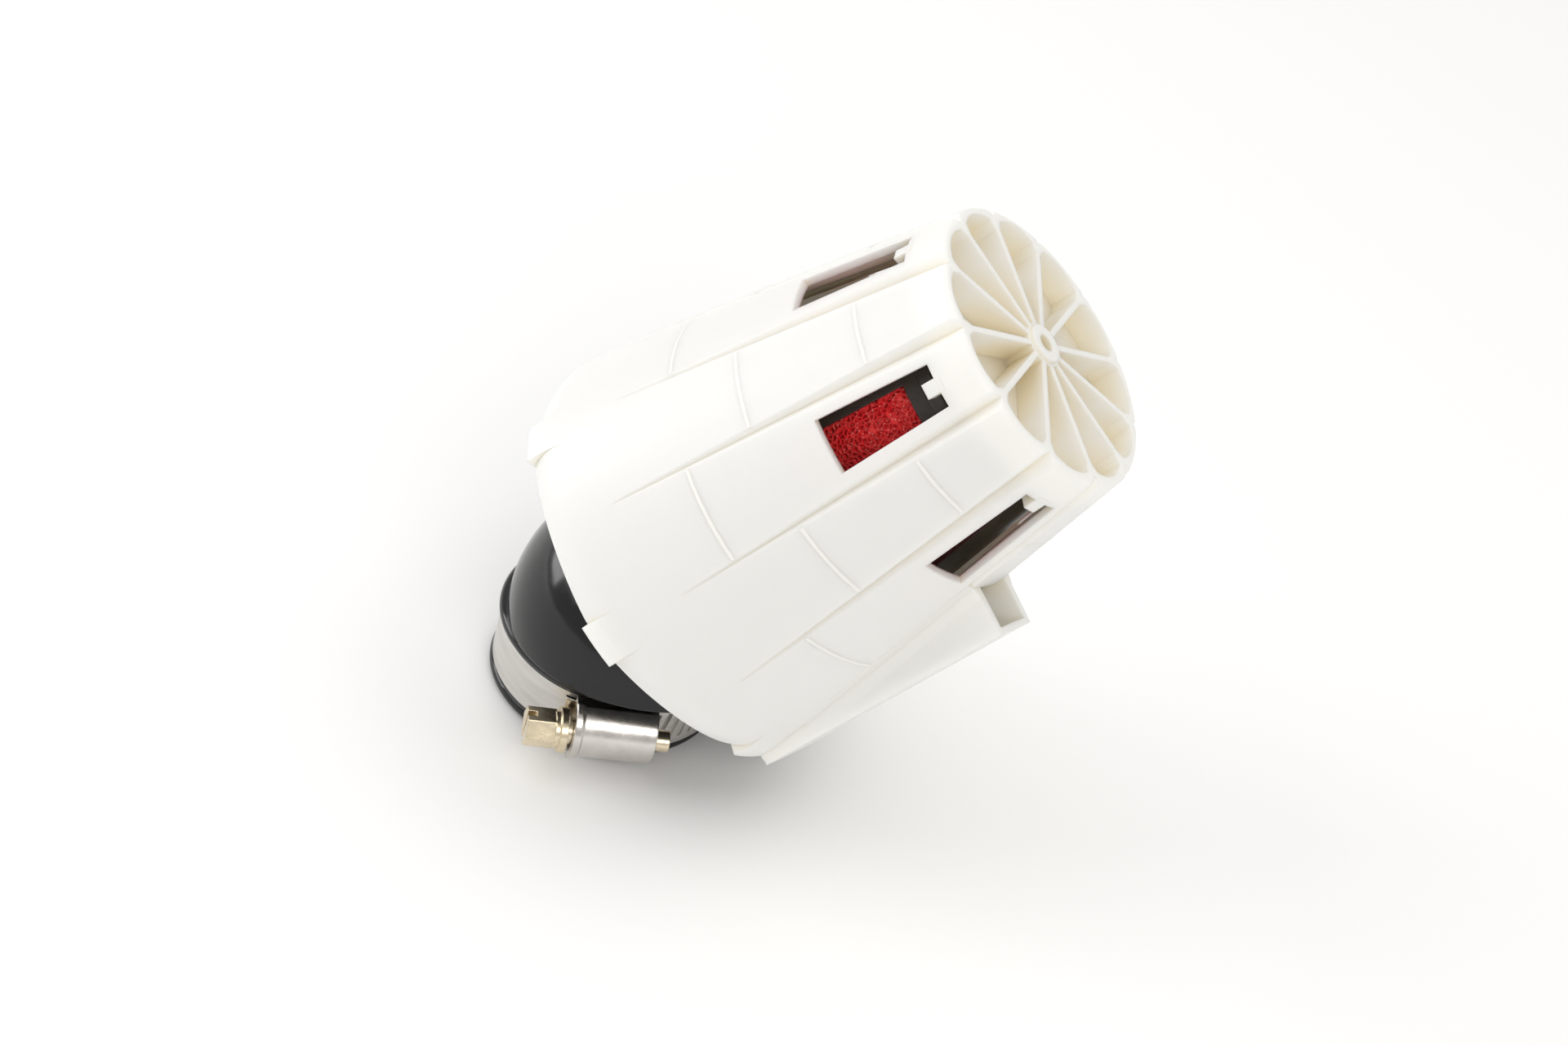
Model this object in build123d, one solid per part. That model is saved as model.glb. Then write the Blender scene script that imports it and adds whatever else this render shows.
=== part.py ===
"""Clamp-on cone air filter with a vented hood, for a small engine's carburettor.

Frame: the origin is the centre of the rubber neck's mouth, +Z runs up the neck into the
filter, and the hood leans from +Z towards +X. Millimetres. The hood, cage, foam, core and
base ring share the hood's own axis, which crosses the neck's axis inside the rubber boot.
In the hood's own frame z is the height above the hood's rim and the end face is at HOOD_H.
"""
from build123d import *
import math
import os

# Axes
LEAN = 36.0               # angle between the neck's axis and the hood's axis, degrees
CROSS_Z = 21.0            # height of the crossing of the two axes above the mouth
RIM_OFF = 12.2            # from the crossing to the hood's rim plane, along the hood's axis

# Hood
HOOD_H = 79.3             # rim plane to end face
TIP_R = 25.2              # outer radius at the end face
BEND_R, BEND_H = 34.6, 23.0   # where the straight cone ends
BELLY_R, BELLY_H = 36.9, 5.5  # widest place
RIM_R = 35.2              # outer radius at the rim
WALL = 1.5
TIP_ROUND = 1.3
LOBES = 12
LOBE = 360.0 / LOBES
GROOVE_LONG, GROOVE_SHORT = 14.6, 18.1    # heights where the grooves run out
GROOVE_DEPTH, GROOVE_HALF_DEG = 1.5, 48.0
END_FLOOR = 72.6          # underside of the end face's floor
FLOOR_T = 1.3
HUB_R, HUB_HOLE_R, HUB_PROUD = 3.4, 1.5, 0.6
RIB_T = 1.1
WIN_LOW, WIN_HIGH = 51.7, 72.1            # window's two ends
WIN_HALF_LOW, WIN_HALF_HIGH = 4.7, 3.7    # half widths at those ends
TAB_W, TAB_L = 2.5, 2.4
PAD_HALF_DEG = 6.0
PAD_R, PAD_H = 37.3, 10.3
ARCH_RISE, ARCH_HALF = 1.2, 13.5
SCOOP_DEG = -30.0
SCOOP_MOUTH_H = 51.3
SCOOP_R_MOUTH, SCOOP_R_RIM = 38.0, 38.7
SCOOP_HALF, SCOOP_WALL = 5.7, 1.15
SCOOP_FLARE = 3.0
DUCT_FLOOR_R, DUCT_LOW = 29.3, 9.5

# Cage, its lid and the foam inside it
CAGE_R_LID, CAGE_R_FOOT = 21.45, 30.9     # outer radii at the shell's two ends
CAGE_TOP, CAGE_FOOT = 66.9, 9.2
CAGE_WALL = 1.5
SLOT_LOW = 15.5
SLOT_HIGH = 64.4
SLOT_HALF_DEG = 9.6
SLOT_TURN_DEG = 0.9       # the cage sits turned this much from the hood's windows
LID_TOP = 70.2
LID_T = 1.6
FOAM_LOW, FOAM_WALL = 13.5, 8.0
GAP = 0.3                 # clearance between pieces of different bodies
SEAM = 0.1                # clearance between foam and the plastic that holds it

# Core and base ring
CORE_LOW, CORE_TOP = 13.0, 55.0
CORE_BARS = 6
BASE_BORE = 18.5

# Boot
BORE_R = 17.5             # carburettor spigot, 35 mm
NECK_R = 19.75            # outside of the neck under the clamp's band
LIP_R, LIP_Z = 20.9, 1.4
BEAD_R, BEAD_Z = 21.3, 13.3
NECK_TOP = 15.5
BOOT_WALL = 2.2
BALL_R, BALL_X, BALL_Z = 26.0, 6.0, 15.8
COLLAR_R, COLLAR_IN = 32.8, 28.5
COLLAR_LOW, COLLAR_TOP = 0.0, 6.4
CONE_R, CONE_LOW = 14.0, -9.0     # narrow end of the sloping shoulder under the collar
LIP_LOW = -0.2            # inner lip's underside
GROOVE_R, GROOVE_LOW, GROOVE_TOP = 30.6, 1.2, 4.2

# Clamp
BAND_T, BAND_W, BAND_Z = 0.7, 9.0, 7.35
BAND_IN = NECK_R + 0.15
CLAMP_DEG = -74.0         # where the housing sits around the neck
HOUSE_L, HOUSE_W, HOUSE_TOP = 14.3, 10.9, 27.6
HOUSE_SHIFT, HOUSE_RISE = -1.35, 0.9   # housing and screw, along the screw and up the neck
HOUSE_T = 0.9
ROLL_L, ROLL_OUT = 1.5, 0.5       # rolled edge at the housing's end next to the head
SCREW_AX = 24.1           # distance of the screw's axis from the neck's axis
SCREW_R = 2.4
HEX_AF, HEX_L = 6.0, 5.0
SCREW_TIP_R, SCREW_TIP_L = 1.9, 3.6   # plain end, from 1 mm inside the housing's end
SLOT_PITCH = 2.2

HOOD_FRAME = Pos(0, 0, CROSS_Z) * Rot(0, LEAN, 0) * Pos(0, 0, RIM_OFF)


def ring_profile(points):
    """Solid of revolution about z from (radius, height) corners."""
    outline = Polyline(*[(r, 0, h) for r, h in points], close=True)
    return revolve(make_face(outline), Axis.Z, 360)


def cage_radius(h):
    """Outer radius of the cage's cone at height h."""
    return CAGE_R_FOOT + (CAGE_R_LID - CAGE_R_FOOT) * (h - CAGE_FOOT) / (CAGE_TOP - CAGE_FOOT)


# ---------------------------------------------------------------- hood

def hood_outline(inset=0.0):
    """Hood's profile, moved inwards by inset, as a face in the XZ plane."""
    slope = math.atan2(TIP_R - BEND_R, HOOD_H - BEND_H)
    across, along = inset * math.cos(slope), inset * math.sin(slope)
    tip = (TIP_R - across, 0, HOOD_H)
    bend = (BEND_R - across, 0, BEND_H + along)
    belly = (BELLY_R - inset, 0, BELLY_H)
    rim = (RIM_R - inset, 0, 0)
    side = Line(tip, bend)
    shoulder = TangentArc(bend, belly, tangent=side % 1)
    curl = ThreePointArc(belly, ((BELLY_R + RIM_R) / 2 + 0.45 - inset, 0, BELLY_H * 0.42), rim)
    edges = side + shoulder + curl + Polyline(rim, (0, 0, 0), (0, 0, HOOD_H), tip)
    return make_face(edges)


HOOD_SKIN = hood_outline()


def hood_radius(h):
    """Outer radius of the hood's body at height h."""
    probe = Edge.make_line((0, 0, h), (60, 0, h))
    return max(v.X for v in (HOOD_SKIN & probe).vertices())


def groove(angle, start, depth, half_angle, inset=0.0):
    """V-shaped cutter whose bottom runs from the surface at start to depth at the end face."""
    reach = 4.0
    low = hood_radius(start) - 0.05 - inset
    high = TIP_R - depth - inset
    over = 3.0
    slope = (high - low) / (HOOD_H - start)
    half = reach * math.tan(math.radians(half_angle))
    corners = [(low, 0, start), (low + reach, half, start), (low + reach, -half, start)]
    face = make_face(Polyline(*corners, close=True))
    rise = HOOD_H + over - start
    path = Vector(slope * rise, 0, rise)
    return Rot(0, 0, angle) * extrude(face, path.length, dir=path.normalized())


def lobe_grooves(inset=0.0):
    """The 12 grooves between the lobes."""
    cutters = []
    for k in range(LOBES):
        angle = (k + 0.5) * LOBE
        start = GROOVE_SHORT if k % 2 == 0 else GROOVE_LONG
        cutters.append(groove(angle, start, GROOVE_DEPTH, GROOVE_HALF_DEG, inset))
    return cutters


def scoop_section(h):
    """Outline of the scoop's outside at height h, with flared feet on the hood's surface."""
    t = h / SCOOP_MOUTH_H
    crown = SCOOP_R_RIM + (SCOOP_R_MOUTH - SCOOP_R_RIM) * t
    seat = hood_radius(h)
    foot_y = SCOOP_HALF + SCOOP_FLARE
    foot_x = math.sqrt(seat ** 2 - foot_y ** 2) - 0.25
    knee_x = min(foot_x + SCOOP_FLARE, crown - 0.4)
    deep = foot_x - 0.7
    left, right = [], []
    for side, points in ((1, left), (-1, right)):
        points += [(crown, side * (SCOOP_HALF - 0.1), h), (knee_x, side * (SCOOP_HALF + 0.3), h)]
        points.append((foot_x + 0.9, side * (SCOOP_HALF + 1.1), h))
        points += [(foot_x, side * foot_y, h), (deep, side * foot_y, h)]
    return make_face(Polyline(*left, *reversed(right), close=True))


def scoop_outside():
    heights = (0.0, 12.0, 30.0, SCOOP_MOUTH_H)
    return loft([scoop_section(h) for h in heights], ruled=True)


def scoop_duct():
    """Straight duct from the scoop's mouth, through the hood's wall, to just above the rim."""
    half = SCOOP_HALF - SCOOP_WALL
    crown = SCOOP_R_MOUTH - SCOOP_WALL
    return Pos((DUCT_FLOOR_R + crown) / 2, 0, (DUCT_LOW + SCOOP_MOUTH_H) / 2) * Box(
        crown - DUCT_FLOOR_R, 2 * half, SCOOP_MOUTH_H - DUCT_LOW)


def end_pocket(k):
    """Petal-shaped pocket between two ribs of the end face."""
    half = math.radians(LOBE / 2)
    side = RIB_T / 2 / math.cos(half)
    inner, outer = HUB_R + 0.6, 20.6
    top = HOOD_H + 1
    corners = [(x, x * math.tan(half) - side) for x in (inner, outer)]
    shoulder = (22.5, 4.55)
    up = Polyline(*[(x, y, top) for x, y in corners + [shoulder]])
    down = Polyline(*[(x, -y, top) for x, y in corners + [shoulder]])
    arc = ThreePointArc((*shoulder, top), (23.9, 0, top), (shoulder[0], -shoulder[1], top))
    back = Line((corners[0][0], corners[0][1], top), (corners[0][0], -corners[0][1], top))
    face = make_face(up + down + arc + back)
    depth = top - END_FLOOR - FLOOR_T
    return Rot(0, 0, k * LOBE) * extrude(face, depth, dir=(0, 0, -1))


def window(k):
    """Window cutter in every second lobe, wider towards the rim."""
    low, high = WIN_LOW, WIN_HIGH
    corners = [(15, WIN_HALF_LOW, low), (15, WIN_HALF_HIGH, high),
               (15, -WIN_HALF_HIGH, high), (15, -WIN_HALF_LOW, low)]
    face = make_face(Polyline(*corners, close=True))
    return Rot(0, 0, k * LOBE) * extrude(face, 25, dir=(1, 0, 0))


def window_tab(k):
    """Square tab that hangs from the floor of the end face into a window."""
    low = WIN_HIGH - TAB_L
    lean = (BEND_R - TIP_R) / (HOOD_H - BEND_H)
    outer = TIP_R + (HOOD_H - WIN_HIGH) * lean - 0.1
    corners = [(outer - 2.6, END_FLOOR + 0.4), (outer, END_FLOOR + 0.4), (outer, WIN_HIGH),
               (outer + TAB_L * lean - 0.2, low), (outer - 2.3, low), (outer - 2.6, low + 0.5)]
    face = make_face(Polyline(*[(x, -TAB_W / 2, h) for x, h in corners], close=True))
    return Rot(0, 0, k * LOBE) * extrude(face, TAB_W, dir=(0, 1, 0))


def rim_pad(angle):
    """Raised pad at the rim that fades into the hood's side."""
    corners = [(33.0, 0), (PAD_R, 0), (PAD_R, 3.2), (36.3, PAD_H), (33.0, PAD_H)]
    face = make_face(Polyline(*[(r, 0, h) for r, h in corners], close=True))
    return Rot(0, 0, angle - PAD_HALF_DEG) * revolve(face, Axis.Z, 2 * PAD_HALF_DEG)


def rim_arch(angle):
    """Shallow arch in the rim's edge between two pads."""
    radius = (ARCH_HALF ** 2 + ARCH_RISE ** 2) / (2 * ARCH_RISE)
    bar = Pos(34, 0, ARCH_RISE - radius) * Rot(0, 90, 0) * Cylinder(radius, 12)
    return Rot(0, 0, angle) * (bar & Pos(34, 0, 0) * Box(14, 2.2 * ARCH_HALF, 4))


def make_hood():
    body = revolve(hood_outline(0), Axis.Z, 360)
    tip_edge = body.edges().sort_by(Axis.Z)[-1]
    body = fillet(tip_edge, TIP_ROUND)
    pads = [rim_pad(15 + 60 * k) for k in range(6)]
    scoop = Rot(0, 0, SCOOP_DEG) * scoop_outside()
    duct = Rot(0, 0, SCOOP_DEG) * scoop_duct()
    hollow = revolve(hood_outline(WALL), Axis.Z, 360)
    hollow = hollow & Pos(0, 0, END_FLOOR / 2 - 1) * Cylinder(60, END_FLOOR + 2)
    hollow = hollow - lobe_grooves(inset=WALL + 0.55)
    shell = body - lobe_grooves()
    shell = shell + pads + scoop
    shell = shell - hollow - duct
    shell = shell - [rim_arch(45 + 60 * k) for k in range(6) if 45 + 60 * k != 345]
    shell = shell - [end_pocket(k) for k in range(LOBES)]
    shell = shell - [window(k) for k in range(0, LOBES, 2)]
    shell = shell + [window_tab(k) for k in range(0, LOBES, 2)]
    hub_h = HOOD_H + HUB_PROUD - END_FLOOR
    hub = Pos(0, 0, END_FLOOR + hub_h / 2) * Cylinder(HUB_R, hub_h)
    shell = shell + hub
    return shell - Pos(0, 0, END_FLOOR) * Cylinder(HUB_HOLE_R, 30)


# ---------------------------------------------------------------- filter element

def make_cage():
    """Black slotted cone that holds the foam, with a stepped foot over the base ring."""
    foot_in = 29.1
    inner_top = CAGE_R_LID - CAGE_WALL
    step = FOAM_LOW + 0.2
    shell = ring_profile([(foot_in, CAGE_FOOT), (CAGE_R_FOOT, CAGE_FOOT), (CAGE_R_LID, CAGE_TOP),
                          (inner_top, CAGE_TOP), (cage_radius(step) - CAGE_WALL, step),
                          (foot_in, step)])
    length = SLOT_HIGH - SLOT_LOW
    for k in range(6):
        low_half = cage_radius(SLOT_LOW) * math.sin(math.radians(SLOT_HALF_DEG))
        high_half = cage_radius(SLOT_HIGH) * math.sin(math.radians(SLOT_HALF_DEG))
        corners = [(8, low_half, SLOT_LOW), (8, high_half, SLOT_LOW + length),
                   (8, -high_half, SLOT_LOW + length), (8, -low_half, SLOT_LOW)]
        face = make_face(Polyline(*corners, close=True))
        shell = shell - Rot(0, 0, 60 * k + SLOT_TURN_DEG) * extrude(face, 30, dir=(1, 0, 0))
    return shell


def make_lid():
    """Cap pressed onto the cage's top end; its rounded edge shows through the windows."""
    inner = CAGE_R_LID - CAGE_WALL
    shoulder = 0.9
    return ring_profile([(0, LID_TOP - LID_T), (0, LID_TOP), (CAGE_R_LID - shoulder, LID_TOP),
                         (CAGE_R_LID, LID_TOP - shoulder), (CAGE_R_LID, CAGE_TOP),
                         (inner, CAGE_TOP), (inner, CAGE_TOP - 2), (inner - 1.2, CAGE_TOP - 2),
                         (inner - 1.2, LID_TOP - LID_T)])


def foam_radius(h):
    return cage_radius(h) - CAGE_WALL - SEAM


def make_foam_sleeve():
    low, high = FOAM_LOW, CAGE_TOP - 2 - SEAM
    return ring_profile([(foam_radius(low) - FOAM_WALL, low), (foam_radius(low), low),
                         (foam_radius(high), high), (foam_radius(high) - FOAM_WALL, high)])


def make_foam_disc():
    """Foam plug that closes the sleeve's top end under the lid."""
    low, high = CORE_TOP + GAP, CAGE_TOP - 2 - SEAM
    outer_low = foam_radius(low) - FOAM_WALL - SEAM
    outer_high = foam_radius(high) - FOAM_WALL - SEAM
    return ring_profile([(0, low), (outer_low, low), (outer_high, high), (0, high)])


def core_radius(h):
    return foam_radius(h) - FOAM_WALL - GAP


def make_core():
    """Open basket that keeps the foam from being sucked in: bars, hoops and an end plate."""
    bar_w, wall = 3.0, 1.5
    low, high = CORE_LOW, CORE_TOP
    cone = ring_profile([(core_radius(low) - wall, low), (core_radius(low), low),
                         (core_radius(high), high), (core_radius(high) - wall, high)])
    hoops = []
    for centre in (low + 1.5, (low + high) / 2, high - 1.0):
        hoops.append(cone & Pos(0, 0, centre) * Cylinder(40, 3.0 if centre == low + 1.5 else 2.0))
    bars = []
    for k in range(CORE_BARS):
        slab = Pos(20, 0, (low + high) / 2) * Box(40, bar_w, high - low)
        bars.append(cone & Rot(0, 0, 30 + 60 * k) * slab)
    plate = Pos(0, 0, high - 0.75) * Cylinder(core_radius(high) - wall + 0.2, 1.5)
    basket = hoops[0] + hoops[1:] + bars + plate
    return basket - Pos(0, 0, high) * Cylinder(3.0, 6)


def make_base_ring():
    """Turned plastic ring: its flange sits in the boot's groove, its spigot takes the cage."""
    flange_r = GROOVE_R - GAP
    tube_r = COLLAR_IN - GAP
    bottom = LIP_LOW + 0.7
    deck_r = 31.0
    spigot_r = 28.8
    seat_r = core_radius(CORE_LOW)
    return ring_profile([
        (BASE_BORE, bottom), (tube_r, bottom), (tube_r, GROOVE_LOW + GAP),
        (flange_r, GROOVE_LOW + GAP),
        (flange_r, GROOVE_TOP - GAP), (tube_r, GROOVE_TOP - GAP), (tube_r, COLLAR_TOP + GAP),
        (deck_r, COLLAR_TOP + GAP), (deck_r, CAGE_FOOT - GAP), (spigot_r, CAGE_FOOT - GAP),
        (spigot_r, CORE_LOW), (seat_r - 1.6, CORE_LOW), (seat_r - 1.6, 8.0), (BASE_BORE, 4.0)])


# ---------------------------------------------------------------- boot

def ball(inset, root_r, root_z):
    """Ball of the elbow, tapered down to the neck and cut off at the collar."""
    taper = ring_profile([(0, root_z), (root_r, root_z), (root_r + 14, root_z + 7),
                          (root_r + 14, 60), (0, 60)])
    below_rim = HOOD_FRAME * Pos(0, 0, -29.5) * Cylinder(60, 60)
    return Pos(BALL_X, 0, BALL_Z) * Sphere(BALL_R - inset) & taper & below_rim


def make_boot():
    """Rubber boot: collar round the base ring, ball-shaped elbow, and the clamped neck."""
    neck = ring_profile([(0, 0), (NECK_R + 0.3, 0), (NECK_R + 0.3, 1), (NECK_R, 2.6),
                         (NECK_R, NECK_TOP), (0, NECK_TOP)])
    lip = Pos(0, 0, LIP_Z) * Torus(LIP_R - 1.3, 1.3)
    bead = Pos(0, 0, BEAD_Z) * Torus(BEAD_R - 1.3, 1.3)
    collar = HOOD_FRAME * ring_profile([
        (0, CONE_LOW), (CONE_R, CONE_LOW), (COLLAR_R - 1.2, COLLAR_LOW - 0.5),
        (COLLAR_R, COLLAR_LOW + 0.5), (COLLAR_R, COLLAR_TOP - 0.8), (COLLAR_R - 0.8, COLLAR_TOP),
        (0, COLLAR_TOP)])
    solid = ball(0, NECK_R + 0.45, 14.0) + collar + neck + lip + bead
    drop = BOOT_WALL * 1.1
    hollow = HOOD_FRAME * ring_profile([
        (0, CONE_LOW + drop), (CONE_R, CONE_LOW + drop), (COLLAR_IN - 0.4, LIP_LOW),
        (COLLAR_IN, LIP_LOW + 0.4), (COLLAR_IN, GROOVE_LOW), (GROOVE_R, GROOVE_LOW),
        (GROOVE_R, GROOVE_TOP), (COLLAR_IN, GROOVE_TOP), (COLLAR_IN, COLLAR_TOP + 1),
        (0, COLLAR_TOP + 1)])
    bore = Pos(0, 0, 7.5) * Cylinder(BORE_R, 17)
    return solid - ball(BOOT_WALL, BORE_R - 0.6, 15.7) - hollow - bore


# ---------------------------------------------------------------- clamp

def clamp_place(shape):
    return Rot(0, 0, CLAMP_DEG) * Pos(0, 0, BAND_Z) * shape


def house_place(shape):
    return clamp_place(Pos(0, HOUSE_SHIFT, HOUSE_RISE) * shape)


def arc_plate(radius, thickness, width, start, sweep):
    """Curved plate around z, centred on z = 0."""
    section = make_face(Polyline((radius, 0, -width / 2), (radius + thickness, 0, -width / 2),
                                 (radius + thickness, 0, width / 2), (radius, 0, width / 2),
                                 close=True))
    return Rot(0, 0, start) * revolve(section, Axis.Z, sweep)


def make_band():
    """Band: one turn round the neck, with its slotted tail lying outside the first layer."""
    tail_r = BAND_IN + BAND_T + 0.05
    turn = arc_plate(BAND_IN, BAND_T, BAND_W, 0, 360)
    tail = arc_plate(tail_r - 0.06, BAND_T, BAND_W, -16, 62)
    slots = []
    count = 9
    for k in range(count):
        angle = -8 + k * math.degrees(SLOT_PITCH / tail_r)
        slit = Pos(tail_r + BAND_T, 0, 0) * Rot(-14, 0, 0) * Box(1.2, 0.95, BAND_W - 2.6)
        slots.append(Rot(0, 0, angle) * slit)
    return clamp_place(turn + (tail - slots))


def make_saddle():
    """Bridge plate between band and housing; its ear wraps the band on the head's side."""
    radius = BAND_IN + 2 * BAND_T + 0.15
    plate = arc_plate(radius, 0.6, BAND_W, -27, 12)
    return clamp_place(plate)


def house_outline(inset):
    """Arched cross-section of the housing, in the plane of radius and height."""
    half = HOUSE_W / 2 - inset
    top = HOUSE_TOP - inset
    foot = BAND_IN + 2 * BAND_T + 0.25
    knee = foot + 2.2
    arch = ThreePointArc((knee, half, 0), (top, 0, 0), (knee, -half, 0))
    base = Polyline((knee, -half, 0), (foot, -half, 0), (foot, half, 0), (knee, half, 0))
    return make_face(arch + base)


def make_housing():
    """Pressed housing over the screw, with a rolled edge at the head's end."""
    length = HOUSE_L
    lay = Rot(90, 0, 0)
    outer = Pos(0, length / 2, 0) * lay * extrude(house_outline(0), length)
    inner = Pos(0, length / 2 + 1, 0) * lay * extrude(house_outline(HOUSE_T), length + 2)
    roll = Pos(0, ROLL_L - length / 2, 0) * lay * extrude(house_outline(-ROLL_OUT), ROLL_L)
    shell = outer + fillet(roll.faces().sort_by(Axis.Y)[-1].outer_wire().edges(), ROLL_OUT * 0.9)
    shell = shell - inner
    foot = BAND_IN + 2 * BAND_T + 0.25
    return house_place(shell) - Cylinder(foot + 0.1, 60)


def make_screw():
    """Worm screw: slotted hex head, flange, threaded shank with turned grooves, plain tip."""
    half = HOUSE_L / 2
    shank = Cylinder(SCREW_R, HOUSE_L - 1.0)
    rings = []
    for k in range(6):
        rings.append(Pos(0, 0, -5.5 + k * 2.2) * Torus(SCREW_R + 0.15, 0.45))
    tip = Pos(0, 0, half - 1 + SCREW_TIP_L / 2) * Cylinder(SCREW_TIP_R, SCREW_TIP_L)
    neck = Pos(0, 0, -half - 0.2) * Cylinder(2.3, 1.6)
    flange = Pos(0, 0, -half - 1.6) * Cylinder(4.0, 1.3)
    collar = Pos(0, 0, -half - 2.65) * Cylinder(3.3, 0.9)
    head = extrude(RegularPolygon(HEX_AF / math.sqrt(3), 6), HEX_L)
    head = Pos(0, 0, -half - 3.0 - HEX_L) * head
    slot = Pos(0, 0, -half - 3.0 - HEX_L) * Box(1.2, 12, 3.2)
    screw = (shank - rings) + tip + neck + flange + collar + (head - slot)
    return house_place(Pos(SCREW_AX, 0, 0) * Rot(-90, 0, 0) * screw)


# ---------------------------------------------------------------- all pieces

def main():
    os.makedirs("parts", exist_ok=True)
    in_hood = {
        "hood": make_hood(),
        "cage": make_cage(),
        "cage_lid": make_lid(),
        "foam_sleeve": make_foam_sleeve(),
        "foam_disc": make_foam_disc(),
        "core": make_core(),
        "base_ring": make_base_ring(),
    }
    pieces = {name: HOOD_FRAME * shape for name, shape in in_hood.items()}
    pieces["boot"] = make_boot()
    pieces["clamp_band"] = make_band()
    pieces["clamp_saddle"] = make_saddle()
    pieces["clamp_housing"] = make_housing()
    pieces["clamp_screw"] = make_screw()
    for name, shape in pieces.items():
        export_step(shape, f"parts/{name}.step")


main()
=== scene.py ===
import math

import bpy
from mathutils import Matrix, Vector


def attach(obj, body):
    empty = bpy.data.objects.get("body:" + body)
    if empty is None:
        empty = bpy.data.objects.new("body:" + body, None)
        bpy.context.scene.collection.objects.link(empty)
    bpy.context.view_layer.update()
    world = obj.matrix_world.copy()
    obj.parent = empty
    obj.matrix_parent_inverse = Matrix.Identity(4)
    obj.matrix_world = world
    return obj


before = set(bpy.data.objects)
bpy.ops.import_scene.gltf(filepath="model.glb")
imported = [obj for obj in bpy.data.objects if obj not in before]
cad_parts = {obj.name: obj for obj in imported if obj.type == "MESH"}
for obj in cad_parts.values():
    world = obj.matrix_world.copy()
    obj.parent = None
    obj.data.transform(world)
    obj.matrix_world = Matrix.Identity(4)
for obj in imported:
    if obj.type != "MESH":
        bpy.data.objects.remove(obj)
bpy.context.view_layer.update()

LEAN = math.radians(36.0)
CROSS = Vector((0.0, 0.0, 0.021))     # where the neck's axis and the hood's axis meet
RIM_OFF = 0.0122                      # from there to the hood's rim, along the hood's axis
HOOD_AXIS = Vector((math.sin(LEAN), 0.0, math.cos(LEAN)))
HOOD_FRAME = Matrix.Translation(CROSS + HOOD_AXIS * RIM_OFF) @ Matrix.Rotation(LEAN, 4, "Y")


# ---------------------------------------------------------------- materials

def new_material(name, color, roughness, metallic=0.0):
    mat = bpy.data.materials.new(name)
    mat.use_nodes = True
    shader = mat.node_tree.nodes["Principled BSDF"]
    shader.inputs["Base Color"].default_value = (*color, 1.0)
    shader.inputs["Roughness"].default_value = roughness
    shader.inputs["Metallic"].default_value = metallic
    return mat, mat.node_tree.nodes, mat.node_tree.links, shader


def object_coords(nodes, links, scale=(1.0, 1.0, 1.0), rotation=(0.0, 0.0, 0.0)):
    coords = nodes.new("ShaderNodeTexCoord")
    mapping = nodes.new("ShaderNodeMapping")
    mapping.inputs["Scale"].default_value = scale
    mapping.inputs["Rotation"].default_value = rotation
    links.new(coords.outputs["Object"], mapping.inputs["Vector"])
    return mapping.outputs["Vector"]


def noise(nodes, links, vector, scale, detail=3.0, roughness=0.5):
    tex = nodes.new("ShaderNodeTexNoise")
    tex.inputs["Scale"].default_value = scale
    tex.inputs["Detail"].default_value = detail
    tex.inputs["Roughness"].default_value = roughness
    links.new(vector, tex.inputs["Vector"])
    return tex.outputs["Fac"]


def span(nodes, links, value, low, high, out_low, out_high):
    node = nodes.new("ShaderNodeMapRange")
    node.inputs["From Min"].default_value = low
    node.inputs["From Max"].default_value = high
    node.inputs["To Min"].default_value = out_low
    node.inputs["To Max"].default_value = out_high
    links.new(value, node.inputs["Value"])
    return node.outputs["Result"]


def mix_color(nodes, links, factor, first, second):
    node = nodes.new("ShaderNodeMix")
    node.data_type = "RGBA"
    links.new(factor, node.inputs["Factor"])
    for socket, value in ((node.inputs[6], first), (node.inputs[7], second)):
        if isinstance(value, tuple):
            socket.default_value = (*value, 1.0)
        else:
            links.new(value, socket)
    return node.outputs[2]


def bump(nodes, links, shader, height, strength, distance, edge=0.0):
    node = nodes.new("ShaderNodeBump")
    node.inputs["Strength"].default_value = strength
    node.inputs["Distance"].default_value = distance
    links.new(height, node.inputs["Height"])
    if edge:
        round_edges = nodes.new("ShaderNodeBevel")
        round_edges.samples = 8
        round_edges.inputs["Radius"].default_value = edge
        links.new(round_edges.outputs["Normal"], node.inputs["Normal"])
    links.new(node.outputs["Normal"], shader.inputs["Normal"])


def hood_plastic():
    mat, nodes, links, shader = new_material("hood_plastic", (0.93, 0.925, 0.895), 0.36)
    shader.inputs["Subsurface Weight"].default_value = 0.55
    shader.inputs["Subsurface Radius"].default_value = (1.0, 0.97, 0.9)
    shader.inputs["Subsurface Scale"].default_value = 0.0045
    shader.inputs["Specular IOR Level"].default_value = 0.4
    # Painted shade: pockets, creases and recesses found by ambient occlusion are given a warm amber
    # colour in place of real shade.
    painted_shade_ao = nodes.new("ShaderNodeAmbientOcclusion")
    painted_shade_ao.samples = 12
    painted_shade_ao.inputs["Distance"].default_value = 0.007
    painted_recess_shade = span(nodes, links, painted_shade_ao.outputs["AO"], 0.25, 0.85, 0.0, 1.0)
    color = mix_color(nodes, links, painted_recess_shade, (0.87, 0.78, 0.6), (0.875, 0.868, 0.835))
    links.new(color, shader.inputs["Base Color"])
    vector = object_coords(nodes, links)
    bump(nodes, links, shader, noise(nodes, links, vector, 260.0), 0.12, 0.0004, edge=0.0005)
    return mat


def cage_plastic():
    mat, nodes, links, shader = new_material("cage_plastic", (0.03, 0.022, 0.018), 0.38)
    vector = object_coords(nodes, links)
    fine = noise(nodes, links, vector, 900.0, 2.0)
    color = mix_color(nodes, links, fine, (0.018, 0.013, 0.011), (0.042, 0.032, 0.027))
    links.new(color, shader.inputs["Base Color"])
    bump(nodes, links, shader, fine, 0.25, 0.0002, edge=0.0003)
    return mat


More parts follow.
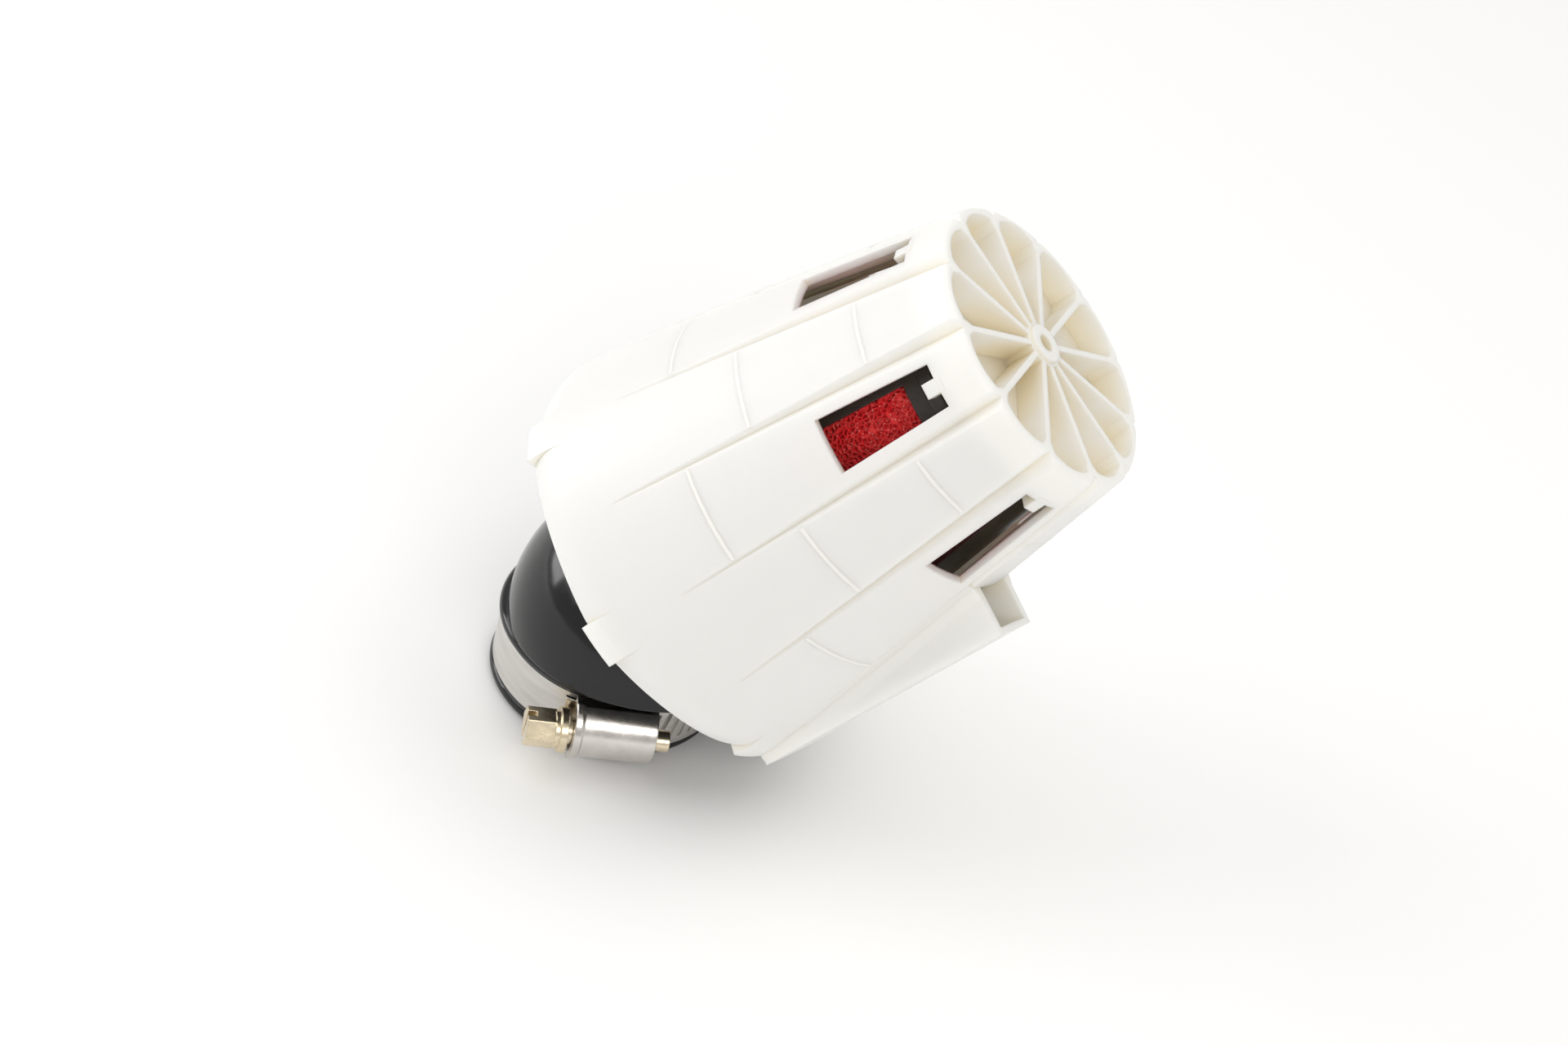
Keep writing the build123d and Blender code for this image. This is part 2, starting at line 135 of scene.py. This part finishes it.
def core_plastic():
    mat, nodes, links, shader = new_material("core_plastic", (0.02, 0.02, 0.02), 0.6)
    vector = object_coords(nodes, links)
    bump(nodes, links, shader, noise(nodes, links, vector, 700.0, 2.0), 0.2, 0.0002)
    return mat


def red_foam():
    mat, nodes, links, shader = new_material("red_foam", (0.5, 0.005, 0.01), 0.55)
    vector = object_coords(nodes, links)
    cells = nodes.new("ShaderNodeTexVoronoi")
    cells.feature = "DISTANCE_TO_EDGE"
    cells.inputs["Scale"].default_value = 1150.0
    cells.inputs["Randomness"].default_value = 0.95
    links.new(vector, cells.inputs["Vector"])
    # Painted shade and light: the cell-wall mask gives the pore interiors a darker red as painted
    # shade and the cell walls a brighter red as painted light; the same mask also drives the bump,
    # and the patch noise varies the tone at random.
    wall = span(nodes, links, cells.outputs["Distance"], 0.05, 0.4, 1.0, 0.0)
    patches = span(nodes, links, noise(nodes, links, vector, 420.0, 3.0), 0.35, 0.65, 0.0, 1.0)
    painted_pore_shade = mix_color(nodes, links, patches, (0.74, 0.002, 0.006), (0.88, 0.004, 0.01))
    painted_strut_light = mix_color(nodes, links, patches, (0.98, 0.012, 0.02), (1.0, 0.05, 0.05))
    color = mix_color(nodes, links, wall, painted_pore_shade, painted_strut_light)
    specks = nodes.new("ShaderNodeTexVoronoi")
    specks.inputs["Scale"].default_value = 1700.0
    links.new(vector, specks.inputs["Vector"])
    spot = span(nodes, links, specks.outputs["Distance"], 0.08, 0.26, 1.0, 0.0)
    color = mix_color(nodes, links, spot, color, (1.0, 0.42, 0.36))
    links.new(color, shader.inputs["Base Color"])
    bump(nodes, links, shader, wall, 0.9, 0.0006)
    return mat


def boot_rubber():
    mat, nodes, links, shader = new_material("boot_rubber", (0.006, 0.006, 0.007), 0.12)
    shader.inputs["Specular IOR Level"].default_value = 0.42
    vector = object_coords(nodes, links)
    rough = span(nodes, links, noise(nodes, links, vector, 240.0, 4.0), 0.3, 0.75, 0.08, 0.2)
    links.new(rough, shader.inputs["Roughness"])
    bump(nodes, links, shader, noise(nodes, links, vector, 90.0, 2.0), 0.12, 0.001, edge=0.0006)
    return mat


def steel(name, color, rough_low, rough_high, stretch, edge):
    mat, nodes, links, shader = new_material(name, color, rough_low, 1.0)
    vector = object_coords(nodes, links, scale=stretch)
    streak = noise(nodes, links, vector, 60.0, 6.0, 0.65)
    links.new(span(nodes, links, streak, 0.3, 0.7, rough_low, rough_high), shader.inputs["Roughness"])
    tone = span(nodes, links, streak, 0.3, 0.7, 0.0, 1.0)
    dark = tuple(0.78 * c for c in color)
    links.new(mix_color(nodes, links, tone, dark, color), shader.inputs["Base Color"])
    bump(nodes, links, shader, streak, 0.18, 0.0006, edge=edge)
    return mat


def line_plastic():
    mat, nodes, links, shader = new_material("hood_line", (0.86, 0.853, 0.82), 0.5)
    vector = object_coords(nodes, links)
    bump(nodes, links, shader, noise(nodes, links, vector, 260.0), 0.1, 0.0003)
    return mat


MATERIALS = {
    "hood": hood_plastic(),
    "line": line_plastic(),
    "cage": cage_plastic(),
    "core": core_plastic(),
    "foam": red_foam(),
    "boot": boot_rubber(),
    "band": steel("band_steel", (0.72, 0.70, 0.67), 0.28, 0.42, (1.0, 1.0, 9.0), 0.0002),
    "housing": steel("housing_steel", (0.76, 0.73, 0.69), 0.14, 0.3, (3.0, 3.0, 3.0), 0.0005),
    "screw": steel("screw_zinc", (0.90, 0.78, 0.57), 0.2, 0.32, (3.0, 3.0, 3.0), 0.0003),
}
FINISH = {
    "hood": "hood", "cage": "cage", "cage_lid": "cage", "base_ring": "cage", "core": "core",
    "foam_sleeve": "foam", "foam_disc": "foam", "boot": "boot", "clamp_band": "band",
    "clamp_saddle": "housing", "clamp_housing": "housing", "clamp_screw": "screw",
}
for node, finish in FINISH.items():
    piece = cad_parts[node]
    piece.data.materials.clear()
    piece.data.materials.append(MATERIALS[finish])


# ---------------------------------------------------------------- thin moulded lines on the hood

LOBES = 12
LOBE_DEG = 30.0
SCOOP_LOBE = 11                       # the scoop covers this lobe's middle line
LINE_LOW, LINE_MID, LINE_HIGH = 0.0288, 0.0412, 0.0630    # heights above the hood's rim
RIDGE_W, RIDGE_H = 0.0006, 0.00009
RIDGE_SINK = 0.00003                  # how far a line's two edges lie under the hood's surface
TIP_R, TIP_H = 0.0252, 0.0793         # the hood's straight side, at its end face
BEND_R, BEND_H = 0.0346, 0.023        # and where that side starts
GROOVE_DEPTH, GROOVE_FOOT, GROOVE_RUN = 0.0015, 0.016, 0.063
GROOVE_SLOPE, GROOVE_GAP = 1.1, 0.0002


def hood_radius(h):
    """Radius of the hood's straight side at height h above the rim."""
    return TIP_R + (BEND_R - TIP_R) * (TIP_H - h) / (TIP_H - BEND_H)


def ridge(name, lobe, h):
    """Low rounded line across one lobe of the hood, from groove to groove."""
    across, steps = 6, 24
    depth = GROOVE_DEPTH * (h - GROOVE_FOOT) / GROOVE_RUN
    groove_half = (depth * GROOVE_SLOPE + GROOVE_GAP) / hood_radius(h)
    reach = LOBE_DEG / 2 - math.degrees(groove_half)
    points, faces = [], []
    for i in range(steps + 1):
        angle = math.radians(LOBE_DEG * lobe + reach * (2.0 * i / steps - 1.0))
        for j in range(across + 1):
            t = 2.0 * j / across - 1.0
            height = h + RIDGE_W / 2 * t
            r = hood_radius(height) - RIDGE_SINK + RIDGE_H * (1.0 - t * t)
            points.append((r * math.cos(angle), r * math.sin(angle), height))
    for i in range(steps):
        for j in range(across):
            a = i * (across + 1) + j
            b = a + across + 1
            faces.append((a, b, b + 1, a + 1))
    mesh = bpy.data.meshes.new(name)
    mesh.from_pydata(points, [], faces)
    mesh.polygons.foreach_set("use_smooth", [True] * len(faces))
    mesh.transform(HOOD_FRAME)
    piece = bpy.data.objects.new(name, mesh)
    bpy.context.scene.collection.objects.link(piece)
    mesh.materials.append(MATERIALS["line"])
    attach(piece, "hood_body")


for lobe in range(LOBES):
    if lobe % 2 == 0:
        ridge(f"line_low_{lobe:02d}", lobe, LINE_LOW)
        continue
    if lobe != SCOOP_LOBE:
        ridge(f"line_mid_{lobe:02d}", lobe, LINE_MID)
    ridge(f"line_high_{lobe:02d}", lobe, LINE_HIGH)


# ---------------------------------------------------------------- studio

def area_light(name, place, aim, size, power, color=(1.0, 1.0, 1.0)):
    data = bpy.data.lights.new(name, "AREA")
    data.shape = "RECTANGLE"
    data.size, data.size_y = size
    data.energy = power
    data.color = color
    lamp = bpy.data.objects.new(name, data)
    bpy.context.scene.collection.objects.link(lamp)
    lamp.location = place
    lamp.rotation_euler = (Vector(aim) - Vector(place)).to_track_quat("-Z", "Y").to_euler()
    return lamp


FLOOR_SIZE, FLOOR_DROP = 6.0, 0.0002
bpy.ops.mesh.primitive_plane_add(size=FLOOR_SIZE, location=(0.0, 0.0, -FLOOR_DROP))
floor = bpy.context.object
floor.name = "floor"
floor_mat, _, _, _ = new_material("floor", (0.95, 0.95, 0.95), 0.9)
floor.data.materials.append(floor_mat)

CENTRE = (0.025, 0.0, 0.05)
area_light("softbox_left", (-0.75, -0.15, 0.6), CENTRE, (0.5, 0.8), 2.1)
area_light("strip_low_left", (-0.7, 0.12, 0.17), CENTRE, (0.3, 0.22), 1.0)
area_light("softbox_top", (0.1, 0.25, 1.0), CENTRE, (1.2, 1.2), 3.7)
area_light("softbox_front", (0.35, -0.9, 0.75), CENTRE, (0.7, 0.5), 3.4, (1.0, 0.97, 0.93))

world = bpy.data.worlds.new("studio")
bpy.context.scene.world = world
world.use_nodes = True
background = world.node_tree.nodes["Background"]
background.inputs["Color"].default_value = (1.0, 0.99, 0.965, 1.0)
background.inputs["Strength"].default_value = 0.6
bpy.context.scene.view_settings.view_transform = "Standard"

lens = bpy.data.cameras.new("camera")
lens.lens = 75.0
lens.sensor_width = 36.0
lens.clip_start = 0.01
camera = bpy.data.objects.new("camera", lens)
camera.location = (0.0239, -0.4391, 0.3831)
camera.rotation_euler = tuple(math.radians(a) for a in (51.12, -13.59, 10.91))
bpy.context.scene.collection.objects.link(camera)
bpy.context.scene.camera = camera
